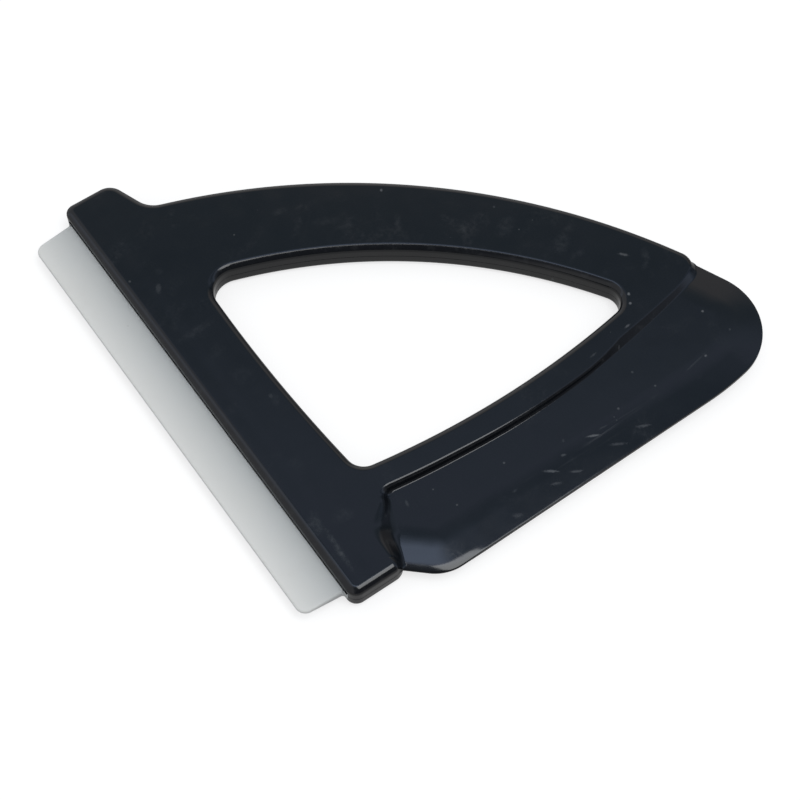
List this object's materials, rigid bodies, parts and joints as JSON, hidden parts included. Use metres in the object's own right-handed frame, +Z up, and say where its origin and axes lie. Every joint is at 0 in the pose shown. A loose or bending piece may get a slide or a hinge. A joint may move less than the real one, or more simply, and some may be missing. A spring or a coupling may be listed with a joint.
{
  "type": "ice scraper",
  "caption": "Flat triangular hand-held ice scraper with a finger hole, a bevelled scraping blade along one side and a soft wiper lip along another.",
  "frame": {"origin": "under the middle of the whole scraper, on the flat face of the lower shell that it lies on", "axes": "+Z up out of the flat faces, +Y along the bar from its foot by the blade to its head, +X from the wiper lip towards the tip"},
  "size_m": [0.1492, 0.148, 0.008],
  "materials": {
    "black_plastic": "glossy moulded black plastic with fine scuffs",
    "translucent_rubber": "satin translucent white rubber"
  },
  "bodies": {
    "scraper": {"upper_shell": "black_plastic", "lower_shell": "black_plastic", "wiper_lip_root": "translucent_rubber"},
    "lip": {"wiper_lip_blade": "translucent_rubber"}
  },
  "joints": [
    {"name": "lip_flex", "type": "hinge", "parent": "scraper", "child": "lip", "pos_m": [-0.06416, 0.0032, 0.004], "axis": [0, 1, 0], "range_deg": [-35, 35], "stiffness_Nm_per_rad": 0.08}
  ]
}
